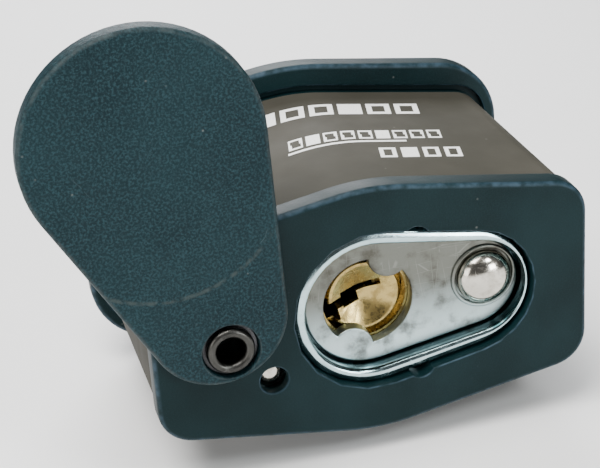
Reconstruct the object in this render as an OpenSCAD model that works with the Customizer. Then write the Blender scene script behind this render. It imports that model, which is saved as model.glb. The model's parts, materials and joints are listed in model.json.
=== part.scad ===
// Weather-covered laminated padlock, lying on its back with its key cover swung open.
// X runs across the lock, Y from the keyway face to the shackle, Z out of the label face.
// The origin is on the keyway axis, in the plane of the bottom cap's outer face.

/* [Cover] */
// Width of the plastic cover from end to end
cover_w = 66; // [55:1:80]
// Thickness of the cover at its centre ridges
cover_mid_t = 40; // [36:1:48]
// Thickness of the cover at its two ends, before the corners are rounded
cover_end_t = 29; // [25:0.5:34.8]
// Corner radius of the cover
cover_corner_r = 5.5; // [4.5:0.5:7.5]
// Radius that rounds each centre ridge of the cover
cover_ridge_r = 32; // [26:1:40]
// Thickness of the bottom cap's floor
cap_floor_t = 3; // [2.5:0.1:3.6]
// Height of the bottom cap's rim, floor included
cap_rim_h = 3.7; // [3.6:0.1:4.8]
// Step from the cap's rim in to the label sleeve
sleeve_step = 0.6; // [0.4:0.1:1.2]
// Wall of the label sleeve
sleeve_wall = 2.1; // [1.6:0.1:2.6]

/* [Bumper] */
// How far the top bumper stands proud of the cover at its ends
bumper_side_lip = 2.5; // [1.5:0.1:3.5]
// How far the top bumper stands proud of the cover at its faces
bumper_face_lip = 4; // [3:0.1:5]
// Corner radius of the top bumper
bumper_corner_r = 11; // [9:0.5:13]
// Height of the bumper's outer wall
bumper_h = 4.6; // [3.9:0.1:5.6]
// Thickness of the bumper's wall over the top plate
bumper_top_t = 3.1; // [2.6:0.1:3.7]

/* [Steel body] */
// Thickness of the bottom plate
bottom_plate_t = 3; // [2.6:0.1:3.6]
// Thickness of each lamination
lamination_t = 2.65; // [2.45:0.05:3]
// Thickness of the top plate
top_plate_t = 2.6; // [2.2:0.1:3.1]
// Radius of the body rivets
rivet_r = 2.2; // [1.8:0.1:2.4]
// Distance of the outer rivets from the end of the steel body
rivet_end_dist = 4.4; // [4:0.1:5]
// Distance of the outer rivets from the centre plane
rivet_outer_z = 7.2; // [6.5:0.1:8]
// Distance of the inner rivets from the heel leg's axis, towards the keyway
rivet_inner_dx = 3.3; // [2.8:0.1:3.9]
// Distance of the inner rivets from the centre plane
rivet_inner_z = 7.85; // [7.6:0.05:8.6]
// Height of a rivet's domed head
rivet_head_h = 1.3; // [1:0.1:1.5]

/* [Shackle] */
// Diameter of the shackle rod
shackle_d = 9.5; // [8:0.1:10]
// Distance between the axes of the two shackle legs
leg_spacing = 38; // [36:0.5:40]
// Clear height inside the closed shackle, above the bumper
shackle_clear = 35; // [25:1:60]
// How far the shackle lifts when it is unlocked
shackle_lift = 19; // [16:0.5:20]
// Depth of the locking balls' bite into the legs
ball_bite = 2.95; // [2.5:0.05:3.2]
// Radius of the locking balls
ball_r = 4.75; // [4.5:0.05:4.8]
// Distance of the ball centres below the top of the laminations
ball_depth = 5.6; // [5.2:0.1:6.6]
// Distance of the toe leg's tip below the ball centres
toe_tip_drop = 7; // [6:0.1:8]
// How far the toe ball moves inwards
toe_retract = 3.1; // [3.05:0.05:3.6]
// How far the heel ball moves inwards
heel_retract = 1.6; // [1.2:0.1:2]
// Radius of the spring bore in the heel leg
spring_bore_r = 2.5; // [2.2:0.1:2.6]
// Depth of the spring bore in the heel leg
spring_bore_depth = 12; // [10:0.5:14]
// Wire radius of the shackle spring
spring_wire_r = 0.45; // [0.3:0.05:0.5]

/* [Cylinder] */
// Radius of the keyed plug
plug_r = 6.35; // [5.6:0.05:6.6]
// Wall of the cylinder shell around the plug
shell_wall = 1.65; // [1.4:0.05:2]
// Steel left between the pin housing and the toe leg's hole
housing_leg_wall = 2.9; // [2.6:0.1:3.4]
// Width of the pin housing
pin_housing_w = 7.2; // [5.8:0.1:7.8]
// Turn of the whole cylinder about its own axis, in degrees
cylinder_tilt = 12; // [0:1:14]
// Radius of the key pins and driver pins
pin_r = 1.3; // [1:0.05:1.35]
// Distance of the first pin behind the plug's face
first_pin_dist = 3.2; // [2.8:0.1:3.6]
// Distance of the last pin from the plug's inner end
last_pin_dist = 3.85; // [3:0.05:4.5]
// Width of the keyway
keyway_w = 1.7; // [1.4:0.1:2]
// Turn of the plug that frees the shackle, in degrees
plug_turn = 90; // [80:5:100]

/* [Door] */
// Radius of the door's end around the plug
door_plug_end_r = 9.7; // [9:0.1:10.4]
// Radius of the door's end around its screw
door_screw_end_r = 7.1; // [6.2:0.1:7.4]
// Distance of the door's small end from the keyway axis
door_end_x = 16.2; // [15:0.1:17]
// Distance of the door screw from the keyway axis, along the door
door_screw_x = 17.9; // [16.4:0.1:18]
// Distance of the door screw from the centre plane
door_screw_z = 0.8; // [0:0.1:0.9]
// Depth of the door's face below the cap's face
door_depth = 3.4; // [3.2:0.1:3.7]
// Thickness of the door
door_t = 2; // [1.6:0.1:2.2]
// Radius of the plug's opening in the door
door_plug_hole_r = 6.8; // [6.6:0.1:7.4]
// Radius of the two tabs that keep the plug in
door_tab_r = 3.2; // [2.6:0.1:3.4]
// Angle of the two tabs about the keyway axis, measured from the pin housing
door_tab_angle = 50; // [40:1:65]
// Radius of the door screw's domed head
screw_head_r = 4.2; // [3.5:0.1:4.3]
// Height of the door screw's domed head
screw_head_h = 2.7; // [2.2:0.1:3]
// Radius of the door screw's shank
screw_shank_r = 2.5; // [2:0.1:2.8]
// Width of the bottom plate's raised lip, gap to the cap included
lip_band_w = 2.5; // [2.1:0.05:2.6]
// Height of the raised lip above the bottom plate
lip_h = 2; // [1.6:0.1:2.4]
// Radius of the two half-round finger notches in the cap's opening
notch_r = 2.1; // [1.8:0.1:2.5]
// Distance of the finger notches from the keyway axis, along the opening
notch_x = 6.7; // [5:0.1:9]

/* [Key cover] */
// Radius of the key cover's disc
flap_disc_r = 16.8; // [14:0.1:18]
// Radius of the key cover's pivot end
flap_lobe_r = 10; // [9.2:0.1:10.6]
// Distance from the pivot to the disc's centre
flap_reach = 33.3; // [30:0.1:36]
// Distance from the pivot to the pivot end's centre
flap_lobe_offset = 5.2; // [4.6:0.1:5.4]
// Thickness of the key cover
flap_t = 3.2; // [2.6:0.1:3.6]
// Distance of the pivot from the keyway axis
pivot_x = 22.2; // [21.5:0.1:23]
// Outer radius of the pivot rivet's barrel
pivot_barrel_r = 2.65; // [2.5:0.05:2.8]
// Radius of the pivot rivet's rolled rim
pivot_rim_r = 3.5; // [3.3:0.05:3.7]
// Radius of the bore through the pivot rivet
pivot_bore_r = 2.1; // [1.9:0.05:2.2]
// Radius of the round pocket around the pivot rivet's rim
pivot_pocket_r = 4.15; // [4:0.05:4.4]
// Angle of the open key cover above the line to the keyway, in degrees
flap_open_angle = 105.6; // [90:0.1:150]
// Radius of the drain hole over one body rivet
drain_hole_r = 2.1; // [1.8:0.1:2.3]

/* [Clearances] */
// Radial clearance of turning and sliding fits
run_gap = 0.07; // [0.05:0.01:0.1]
// Clearance around pieces that don't move against each other
seat_gap = 0.1; // [0.08:0.01:0.14]
// Radial clearance of the shackle legs in the steel body
leg_gap = 0.15; // [0.1:0.01:0.2]

/* [Hidden] */
lamination_count = 13;
pin_count = 5;
rubber_seal_t = 1.9;
rubber_seal_w = 2.2;
seal_stand = 0.4;
edge_chamfer = 0.8;
arc_steps = 6;
cam_steps = 15;
eps = 0.01;
notch_sink = 2;
opening_end_inset = 0.4;
lip_crest_w = 1.1;
door_ring_w = 0.5;
door_ring_h = 0.4;
tab_centre_out = 0.8;
lower_tab_turn = 187;
housing_screw_wall = 3;

leg_r = shackle_d / 2;
leg_x = leg_spacing / 2;
ridge_angle = atan((cover_mid_t - cover_end_t) / cover_w);
sleeve_y = cap_rim_h;
plate_y = cap_floor_t + seat_gap;
stack_y = plate_y + bottom_plate_t;
stack_top = stack_y + lamination_count * lamination_t;
body_top = stack_top + top_plate_t;
bumper_top = body_top + bumper_top_t;
bumper_y = bumper_top - bumper_h;
steel_inset = sleeve_step + sleeve_wall + seat_gap;

door_back = door_depth + door_t;
door_gap = 3 * seat_gap;
shell_y = door_back + seat_gap;
plug_y = shell_y + seat_gap;
ball_y = stack_top - ball_depth;
ball_x = leg_x - leg_r + ball_bite - ball_r;
slot_half = ball_r + seat_gap;
cam_r = ball_x - ball_r - run_gap;
cam_y = ball_y - slot_half - seat_gap;
cam_top = ball_y + slot_half + seat_gap;
cam_base_t = 0.8;
shell_end = cam_y - cam_base_t - 2 * seat_gap;
shell_r = plug_r + run_gap + shell_wall;
screw_dist = door_screw_x * cos(cylinder_tilt) + door_screw_z * sin(cylinder_tilt);
pin_housing_reach = min(leg_x - leg_r - leg_gap - housing_leg_wall,
                        screw_dist - screw_shank_r - housing_screw_wall);
toe_tip_y = ball_y - toe_tip_drop;
heel_end_y = stack_y + 0.9;
tongue_len = 2.2;
tongue_w = 7;
tongue_t = 2.4;
chamber_cap_t = 0.5;
chamber_cap_w = 4;
pin_wire_r = 0.17;
first_pin_y = plug_y + first_pin_dist;
pin_pitch = (shell_end - last_pin_dist - first_pin_y) / (pin_count - 1);
shear_gap = 0.25;
bow_y = bumper_top + shackle_clear - (leg_x - leg_r);

flap_y = -flap_t - run_gap;
rim_t = 1.3;
washer_t = 0.35;
rivet_pocket_t = 1.1;
head_pocket_t = rivet_head_h + seat_gap;

inner_rivet_x = leg_x - rivet_inner_dx;
outer_rivet_x = cover_w / 2 - steel_inset - rivet_end_dist;
rivet_places = [
    [-inner_rivet_x, rivet_inner_z], [-inner_rivet_x, -rivet_inner_z],
    [outer_rivet_x, rivet_outer_z], [outer_rivet_x, -rivet_outer_z]
];

lamination_names = [for (i = [1:lamination_count]) str("lamination_", i)];
key_pin_names = [for (i = [1:pin_count]) str("key_pin_", i)];
driver_pin_names = [for (i = [1:pin_count]) str("driver_pin_", i)];
pin_spring_names = [for (i = [1:pin_count]) str("pin_spring_", i)];

$fn = 64;

// ---------- outlines ----------

// Each circle is [x, z, radius]. The outline is the convex hull of the circles, taken counter-clockwise.
function tangent_angle(p, q) =
    let (d = [q[0] - p[0], q[1] - p[1]])
    atan2(d[1], d[0]) - acos((p[2] - q[2]) / norm(d));
function wrap(a) = a - 360 * floor(a / 360);
function hull_outline(circles, steps = arc_steps) = [
    for (i = [0:len(circles) - 1])
        let (c = circles[i],
             before = circles[(i + len(circles) - 1) % len(circles)],
             after = circles[(i + 1) % len(circles)],
             from = tangent_angle(before, c),
             sweep = wrap(tangent_angle(c, after) - from))
        for (k = [0:steps])
            let (a = from + sweep * k / steps)
            [c[0] + c[2] * cos(a), c[1] + c[2] * sin(a)]
];

// Six circles of an elongated hexagon with half sizes w, mid and end, drawn inwards by inset.
function hexagon_circles(w, mid, end, corner_r, ridge_r, inset) =
    let (a = atan((mid - end) / w),
         x = w - corner_r,
         z = mid - (corner_r + x * sin(a)) / cos(a),
         ridge = mid - ridge_r / cos(a),
         r = corner_r - inset,
         m = ridge_r - inset)
    [[x, -z, r], [x, z, r], [0, ridge, m], [-x, z, r], [-x, -z, r], [0, -ridge, m]];

module cover_outline(inset) {
    polygon(hull_outline(hexagon_circles(
        cover_w / 2, cover_mid_t / 2, cover_end_t / 2, cover_corner_r, cover_ridge_r, inset)));
}

module bumper_outline(inset) {
    polygon(hull_outline(hexagon_circles(
        cover_w / 2 + bumper_side_lip, cover_mid_t / 2 + bumper_face_lip,
        cover_end_t / 2 + bumper_face_lip, bumper_corner_r,
        cover_ridge_r + bumper_face_lip, inset)));
}

module door_outline(grow) {
    polygon(hull_outline(
        [[0, 0, door_plug_end_r + grow], [door_end_x, 0, door_screw_end_r + grow]], 24));
}

module opening_outline(shrink) {
    band = door_gap + lip_band_w - shrink;
    polygon(hull_outline([
        [opening_end_inset, 0, door_plug_end_r + band],
        [door_end_x - 1 - opening_end_inset, 0, door_screw_end_r + band]], 24));
}

// The cylinder's section: a round shell with the pin housing on one side.
module cylinder_outline(grow) {
    rotate(cylinder_tilt) {
        circle(shell_r + grow);
        translate([0, -pin_housing_w / 2 - grow])
            square([pin_housing_reach + grow, pin_housing_w + 2 * grow]);
    }
}

// ---------- placing ----------

// Extrudes an X-Z outline from one Y to another.
module along_y(from, to) {
    translate([0, to, 0]) rotate([90, 0, 0]) linear_extrude(to - from) children();
}

// Turns a profile of [radius, y] about the Y axis.
module turned_y() {
    rotate([-90, 0, 0]) rotate_extrude() children();
}

module rod_y(x, z, r, from, to) {
    translate([x, to, z]) rotate([90, 0, 0]) cylinder(h = to - from, r = r);
}

// A domed disc with its flat side at y = 0 and its crown at y = -h.
module dome_y(r, h) {
    sphere_r = (r * r + h * h) / (2 * h);
    mirror([0, 1, 0]) turned_y() intersection() {
        translate([0, h - sphere_r]) circle(sphere_r);
        square([r, h]);
    }
}

// Turns children about the keyway axis with the cylinder, so that +X runs along the pin housing.
module with_cylinder() {
    rotate([0, -cylinder_tilt, 0]) children();
}

module coil_spring(r, wire_r, len, turns, per_turn = 12, sides = 5) {
    rings = turns * per_turn;
    rise = len - 2 * wire_r;
    points = [for (i = [0:rings]) for (j = [0:sides - 1])
        let (a = 360 * i / per_turn, b = 360 * j / sides, d = r + wire_r * cos(b))
        [d * cos(a), wire_r + rise * i / rings + wire_r * sin(b), d * sin(a)]];
    walls = [for (i = [0:rings - 1]) for (j = [0:sides - 1])
        let (k = (j + 1) % sides, here = i * sides, next = here + sides)
        each [[here + j, here + k, next + k], [here + j, next + k, next + j]]];
    start = [for (j = [sides - 1:-1:0]) j];
    finish = [for (j = [0:sides - 1]) rings * sides + j];
    polyhedron(points, concat([start], walls, [finish]), convexity = 10);
}

// ---------- plastic cover ----------

module bottom_cap() {
    color([0.13, 0.17, 0.18]) difference() {
        along_y(0, cap_rim_h) cover_outline(0);
        along_y(cap_floor_t, cap_rim_h + 1) cover_outline(steel_inset - seat_gap);
        along_y(-1, cap_rim_h) opening_outline(0);
        for (side = [-1, 1])
            rod_y(notch_x, side * (door_plug_end_r + lip_band_w - notch_sink), notch_r, -1, cap_rim_h);
        rod_y(-pivot_x, 0, pivot_barrel_r + seat_gap, -1, cap_rim_h);
        rod_y(-pivot_x, 0, pivot_rim_r + seat_gap, cap_floor_t - rivet_pocket_t, cap_rim_h);
        rod_y(-inner_rivet_x, -rivet_inner_z, drain_hole_r, -1, cap_rim_h);
        for (p = rivet_places)
            rod_y(p[0], p[1], rivet_r + 4 * seat_gap, cap_floor_t - head_pocket_t, cap_rim_h);
    }
}

module label_sleeve() {
    color([0.36, 0.34, 0.31]) difference() {
        along_y(sleeve_y, bumper_y) cover_outline(sleeve_step);
        along_y(sleeve_y - 1, bumper_y + 1) cover_outline(sleeve_step + sleeve_wall);
    }
}

module top_bumper() {
    color([0.13, 0.17, 0.18]) difference() {
        along_y(bumper_y, bumper_top) bumper_outline(0);
        along_y(bumper_y - 1, body_top) cover_outline(steel_inset - seat_gap);
        for (side = [-1, 1]) {
            rod_y(side * leg_x, 0, leg_r + 3 * seat_gap, body_top - 1, bumper_top + 1);
            rod_y(side * leg_x, 0, leg_r + rubber_seal_w, bumper_top - rubber_seal_t, bumper_top + 1);
        }
    }
}

module leg_seal(x) {
    color([0.08, 0.08, 0.08]) difference() {
        rod_y(x, 0, leg_r + rubber_seal_w, bumper_top - rubber_seal_t, bumper_top + seal_stand);
        rod_y(x, 0, leg_r + run_gap, body_top, bumper_top + 1);
    }
}

// Generic white print on the label face: bars and blocks, no lettering.
module print_marks() {
    ink_t = 0.08;
    face_d = cover_mid_t / 2 * cos(ridge_angle) - sleeve_step;
    mid_y = (sleeve_y + bumper_y) / 2;
    color([0.9, 0.9, 0.88]) rotate([0, ridge_angle, 0]) translate([0, mid_y, face_d]) {
        for (i = [0:3]) translate([4 + 4 * i, 8.3, 0]) cube([3, 5, ink_t]);
        translate([4, -2.5, 0]) cube([14, 3.4, ink_t]);
        for (i = [0:3]) translate([6.5 + 3.4 * i, -10.4, 0]) cube([2.5, 4, ink_t]);
    }
}

// ---------- key cover ----------

module key_cover() {
    color([0.17, 0.24, 0.26]) difference() {
        translate([-pivot_x, 0, 0]) rotate([0, -flap_open_angle, 0]) along_y(flap_y, flap_y + flap_t)
            polygon(hull_outline(
                [[flap_lobe_offset, 0, flap_lobe_r], [flap_reach, 0, flap_disc_r]], 32));
        rod_y(-pivot_x, 0, pivot_barrel_r + run_gap, flap_y - 1, 1);
        rod_y(-pivot_x, 0, pivot_pocket_r, flap_y - 1, flap_y + rim_t + washer_t);
    }
}

module pivot_rivet() {
    color([0.2, 0.2, 0.21]) difference() {
        union() {
            rod_y(-pivot_x, 0, pivot_rim_r, flap_y - seat_gap, flap_y + rim_t - seat_gap);
            rod_y(-pivot_x, 0, pivot_barrel_r, flap_y, cap_floor_t);
            rod_y(-pivot_x, 0, pivot_rim_r, cap_floor_t - rivet_pocket_t + seat_gap, cap_floor_t);
        }
        rod_y(-pivot_x, 0, pivot_bore_r, flap_y - 1, cap_floor_t + 1);
    }
}

module pivot_washer() {
    color([0.55, 0.55, 0.53]) difference() {
        rod_y(-pivot_x, 0, pivot_pocket_r - 2 * seat_gap,
            flap_y + rim_t - seat_gap, flap_y + rim_t + washer_t - run_gap);
        rod_y(-pivot_x, 0, pivot_barrel_r + seat_gap, flap_y, 1);
    }
}

// ---------- steel body ----------

module steel_outline() {
    cover_outline(steel_inset);
}

module rivet_holes() {
    for (p = rivet_places) rod_y(p[0], p[1], rivet_r + seat_gap / 2, plate_y - 1, body_top + 1);
}

// Everything that is bored or slotted through the stack of laminations.
module stack_cavities() {
    rivet_holes();
    along_y(stack_y - 1, shell_end + seat_gap) cylinder_outline(seat_gap);
    rod_y(0, 0, cam_r + run_gap, shell_end, cam_top + seat_gap);
    translate([-leg_x, ball_y - slot_half, -slot_half]) cube([leg_spacing, 2 * slot_half, 2 * slot_half]);
    rod_y(-leg_x, 0, leg_r + leg_gap, stack_y - 1, body_top + 1);
    rod_y(leg_x, 0, leg_r + leg_gap, toe_tip_y - 1, body_top + 1);
    rod_y(door_screw_x, door_screw_z, screw_shank_r + seat_gap / 2, stack_y - 1, stack_y + 3 * lamination_t);
}

module bottom_plate() {
    color([0.72, 0.73, 0.74]) difference() {
        union() {
            along_y(plate_y, stack_y) steel_outline();
            along_y(plate_y - lip_h / 2, plate_y + 1) opening_outline(3 * seat_gap);
            along_y(plate_y - lip_h, plate_y + 1) opening_outline(lip_band_w - lip_crest_w);
        }
        along_y(plate_y - lip_h - 1, door_back) door_outline(door_gap);
        along_y(door_back - 1, stack_y + 1) cylinder_outline(seat_gap);
        rod_y(door_screw_x, door_screw_z, screw_shank_r + seat_gap / 2, plate_y, stack_y + 1);
        rivet_holes();
    }
}

module lamination(i) {
    shade = 0.5 + 0.06 * (i % 2);
    color([shade, shade, shade]) difference() {
        along_y(stack_y + i * lamination_t, stack_y + (i + 1) * lamination_t) steel_outline();
        stack_cavities();
    }
}

module top_plate() {
    color([0.62, 0.62, 0.63]) difference() {
        along_y(stack_top, body_top) steel_outline();
        rivet_holes();
        for (side = [-1, 1]) rod_y(side * leg_x, 0, leg_r + leg_gap, stack_top - 1, body_top + 1);
    }
}

module body_rivets() {
    color([0.78, 0.78, 0.78]) for (p = rivet_places) {
        rod_y(p[0], p[1], rivet_r, plate_y, body_top);
        translate([p[0], plate_y, p[1]]) dome_y(rivet_r + 2 * seat_gap, rivet_head_h);
    }
}

// ---------- door ----------

module cylinder_door() {
    ring_in_r = screw_head_r + 3 * seat_gap;
    color([0.6, 0.62, 0.62]) difference() {
        union() {
            along_y(door_depth, door_back) difference() {
                door_outline(0);
                difference() {
                    circle(door_plug_hole_r);
                    for (turn = [0, lower_tab_turn]) rotate(cylinder_tilt + door_tab_angle + turn)
                        translate([door_plug_hole_r + tab_centre_out, 0]) circle(door_tab_r);
                }
            }
            rod_y(door_screw_x, door_screw_z, ring_in_r + door_ring_w, door_depth - door_ring_h, door_back);
        }
        rod_y(door_screw_x, door_screw_z, ring_in_r, door_depth - door_ring_h - 1, door_depth);
        rod_y(door_screw_x, door_screw_z, screw_shank_r + seat_gap, door_depth - 1, door_back + 1);
        along_y(0, door_depth) difference() {
            circle(60);
            door_outline(0);
        }
    }
}

module door_screw() {
    color([0.8, 0.8, 0.8]) {
        translate([door_screw_x, door_depth, door_screw_z]) dome_y(screw_head_r, screw_head_h);
        rod_y(door_screw_x, door_screw_z, screw_shank_r, door_depth, stack_y + 2.6 * lamination_t);
    }
}

// ---------- cylinder ----------

// Y of the pin that stands at place i, counted from the keyway face.
function pin_y(i) = first_pin_y + i * pin_pitch;

// The shear line is at the plug's surface; pin i reaches further in where its key cut is deeper.
function key_pin_base(i) = 2.2 + [0, 0.9, 0.3, 1.2, 0.6][i];
key_pin_top = sqrt(pow(plug_r - run_gap, 2) - pow(pin_r, 2)) - shear_gap / 2;
driver_base = plug_r + shear_gap;
chamber_top = pin_housing_reach - chamber_cap_t;
driver_len = (chamber_top - driver_base) * 0.46;

// A round pin or chamber across the cylinder, from one distance to another from the plug's axis.
module across(i, r, from, to) {
    with_cylinder() translate([from, pin_y(i), 0]) rotate([0, 90, 0]) cylinder(h = to - from, r = r);
}

// The keyway is a narrow slot that widens in steps and runs out at the plug's edge.
module keyway_outline() {
    slot_top = 1.5;
    body_w = 1.55 * keyway_w;
    rotate(cylinder_tilt) {
        translate([-1, slot_top - 0.65 * keyway_w]) square([4.1, 0.65 * keyway_w]);
        translate([-3.2, slot_top - body_w]) square([2.6, body_w]);
        translate([-plug_r - 1, slot_top - 1.3 * keyway_w]) square([plug_r - 2.1, 0.9 * keyway_w]);
        translate([-plug_r - 1, slot_top - 2.3 * keyway_w]) square([plug_r - 3.2, 1.2 * keyway_w]);
    }
}

module cylinder_shell() {
    color([0.75, 0.6, 0.32]) difference() {
        along_y(shell_y, shell_end) cylinder_outline(0);
        rod_y(0, 0, plug_r + run_gap, shell_y - 1, shell_end + 1);
        for (i = [0:pin_count - 1]) across(i, pin_r + seat_gap, plug_r - 1, pin_housing_reach + 1);
        with_cylinder() translate([chamber_top, shell_y + 1, -chamber_cap_w / 2])
            cube([2, shell_end - shell_y - 2, chamber_cap_w]);
    }
}

module chamber_cap() {
    color([0.8, 0.66, 0.38]) with_cylinder()
        translate([chamber_top, shell_y + 1, -chamber_cap_w / 2])
            cube([chamber_cap_t, shell_end - shell_y - 2, chamber_cap_w]);
}

module cylinder_plug() {
    face_y = door_back + 2 * seat_gap;
    dish_r = plug_r - 0.7;
    dish_d = 1.6;
    color([0.83, 0.68, 0.4]) difference() {
        union() {
            rod_y(0, 0, plug_r, face_y, shell_end);
            with_cylinder() translate([-tongue_w / 2, shell_end - 1, -tongue_t / 2])
                cube([tongue_w, tongue_len + 1, tongue_t]);
        }
        turned_y() polygon([
            [0, face_y - 1], [dish_r, face_y - 1], [dish_r, face_y], [0, face_y + dish_d]]);
        along_y(face_y - 1, shell_end - 1) keyway_outline();
        for (i = [0:pin_count - 1]) across(i, pin_r + seat_gap, 0.6, plug_r + 1);
    }
}

module key_pin(i) {
    color([0.85, 0.7, 0.35]) across(i, pin_r, key_pin_base(i), key_pin_top);
}

module driver_pin(i) {
    color([0.72, 0.72, 0.7]) across(i, pin_r, driver_base, driver_base + driver_len);
}

module pin_spring(i) {
    from = driver_base + driver_len;
    color([0.7, 0.7, 0.72]) with_cylinder() translate([from, pin_y(i), 0]) rotate([0, 0, -90])
        coil_spring(pin_r - 0.35, pin_wire_r, chamber_top - from, 3, 8, 4);
}

// ---------- locking ----------

// The cam's flutes are the places a ball takes, seen from the turning cam.
module cam_outline() {
    difference() {
        circle(cam_r);
        for (side = [0, 1]) for (k = [0:cam_steps]) {
            share = k / cam_steps;
            r = ball_x - share * (side == 0 ? toe_retract : heel_retract);
            rotate(side * 180 + share * plug_turn) translate([r, 0]) circle(ball_r + run_gap);
        }
    }
}

module actuator() {
    color([0.66, 0.65, 0.6]) difference() {
        union() {
            rod_y(0, 0, cam_r, cam_y - cam_base_t, cam_y);
            along_y(cam_y - eps, cam_top) cam_outline();
        }
        with_cylinder() translate([-tongue_w / 2, shell_end - 1, -tongue_t / 2] - seat_gap / 2 * [1, 0, 1])
            cube([tongue_w + seat_gap, tongue_len + 1 + seat_gap, tongue_t + seat_gap]);
    }
}

module locking_ball(side) {
    color([0.85, 0.85, 0.86]) translate([side * ball_x, ball_y, 0]) sphere(ball_r);
}

// The track that a ball cuts in a leg while the shackle lifts and the ball moves in.
module ball_track(retract) {
    track_r = ball_r + run_gap;
    track_ease = 0.05;
    translate([ball_x, ball_y, 0]) {
        sphere(track_r);
        rotate([0, 0, -atan(retract / shackle_lift)]) rotate([90, 0, 0])
            cylinder(h = norm([shackle_lift, retract]), r = track_r + track_ease);
        translate([-retract, -shackle_lift, 0]) sphere(track_r);
    }
}

module shackle() {
    tip_h = 1.2;
    color([0.78, 0.79, 0.8]) difference() {
        union() {
            translate([0, bow_y, 0]) rotate_extrude(angle = 180) translate([leg_x, 0]) circle(leg_r);
            rod_y(leg_x, 0, leg_r, toe_tip_y + tip_h, bow_y);
            rod_y(-leg_x, 0, leg_r, heel_end_y, bow_y);
            translate([leg_x, toe_tip_y, 0]) rotate([-90, 0, 0])
                cylinder(h = tip_h, r1 = leg_r - tip_h, r2 = leg_r);
        }
        ball_track(toe_retract);
        mirror([1, 0, 0]) ball_track(heel_retract);
        rod_y(-leg_x, 0, spring_bore_r, heel_end_y - 1, heel_end_y + spring_bore_depth);
    }
}

module shackle_spring() {
    from = stack_y;
    to = heel_end_y + spring_bore_depth;
    color([0.6, 0.6, 0.62]) translate([-leg_x, from, 0])
        coil_spring(spring_bore_r - spring_wire_r - 2 * seat_gap, spring_wire_r, to - from, 8, 12, 5);
}

// ---------- assembly ----------

bottom_cap();
label_sleeve();
top_bumper();
key_cover();
pivot_rivet();
pivot_washer();
leg_seal(leg_x);  // toe_seal
leg_seal(-leg_x);  // heel_seal
bottom_plate();
top_plate();
body_rivets();
cylinder_door();
door_screw();
cylinder_shell();
chamber_cap();
cylinder_plug();
actuator();
locking_ball(1);  // toe_ball
locking_ball(-1);  // heel_ball
shackle();
shackle_spring();
print_marks();
for (i = [0:lamination_count - 1])
    lamination(i);
for (i = [0:pin_count - 1]) {
    key_pin(i);
    driver_pin(i);
    pin_spring(i);
}
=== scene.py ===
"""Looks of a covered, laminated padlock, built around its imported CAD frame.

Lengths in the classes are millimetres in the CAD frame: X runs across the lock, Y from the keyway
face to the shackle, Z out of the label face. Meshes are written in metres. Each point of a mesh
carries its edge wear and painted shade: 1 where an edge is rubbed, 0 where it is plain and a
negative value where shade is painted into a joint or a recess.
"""

from __future__ import annotations

import json
import logging
import math
from collections.abc import Callable, Sequence
from dataclasses import dataclass, field
from enum import Enum

import bmesh
import bpy
from mathutils import Matrix, Vector

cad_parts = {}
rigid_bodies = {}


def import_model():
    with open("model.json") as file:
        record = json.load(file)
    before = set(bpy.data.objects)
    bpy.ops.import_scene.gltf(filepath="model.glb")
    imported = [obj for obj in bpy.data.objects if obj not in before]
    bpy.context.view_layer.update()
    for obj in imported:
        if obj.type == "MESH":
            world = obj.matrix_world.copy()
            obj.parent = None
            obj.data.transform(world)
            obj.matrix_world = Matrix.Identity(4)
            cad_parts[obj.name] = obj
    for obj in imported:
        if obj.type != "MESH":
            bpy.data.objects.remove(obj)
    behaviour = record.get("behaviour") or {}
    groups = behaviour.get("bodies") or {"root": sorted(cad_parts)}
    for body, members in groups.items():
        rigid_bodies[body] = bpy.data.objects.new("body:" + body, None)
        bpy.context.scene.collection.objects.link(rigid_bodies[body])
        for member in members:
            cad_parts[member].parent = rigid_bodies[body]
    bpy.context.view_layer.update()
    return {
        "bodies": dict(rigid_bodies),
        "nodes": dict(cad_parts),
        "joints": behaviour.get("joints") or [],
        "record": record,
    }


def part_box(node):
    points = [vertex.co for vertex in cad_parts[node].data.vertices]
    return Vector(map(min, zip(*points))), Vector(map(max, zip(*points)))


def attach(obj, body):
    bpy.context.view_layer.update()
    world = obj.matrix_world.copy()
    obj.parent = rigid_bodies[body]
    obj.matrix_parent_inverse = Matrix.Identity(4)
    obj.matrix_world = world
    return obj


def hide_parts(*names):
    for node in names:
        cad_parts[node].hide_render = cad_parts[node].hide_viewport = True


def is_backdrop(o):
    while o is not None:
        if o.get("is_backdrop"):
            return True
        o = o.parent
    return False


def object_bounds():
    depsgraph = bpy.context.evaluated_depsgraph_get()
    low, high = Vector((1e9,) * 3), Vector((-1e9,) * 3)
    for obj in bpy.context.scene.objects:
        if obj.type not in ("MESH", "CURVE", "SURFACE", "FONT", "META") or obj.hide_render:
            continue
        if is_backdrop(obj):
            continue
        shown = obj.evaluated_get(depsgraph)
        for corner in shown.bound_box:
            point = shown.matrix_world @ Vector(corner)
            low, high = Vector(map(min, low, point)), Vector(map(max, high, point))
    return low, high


LOG = logging.getLogger("padlock")
MM = 0.001
TOUCH = 1e-7
Rgb = tuple[float, float, float]
Loop = list[bmesh.types.BMEdge]


# ---------- outlines ----------


@dataclass(frozen=True)
class Arc:
    """A round stretch of an outline; angles in degrees, from +X towards +Z."""

    x: float
    z: float
    r: float
    start: float
    sweep: float

    def point(self, share: float, y: float) -> Vector:
        """The point at a share of the sweep, in metres."""
        angle = math.radians(self.start + self.sweep * share)
        return Vector((self.x + self.r * math.cos(angle), y, self.z + self.r * math.sin(angle))) * MM


Outline = Callable[[float], list[Arc]]


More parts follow.
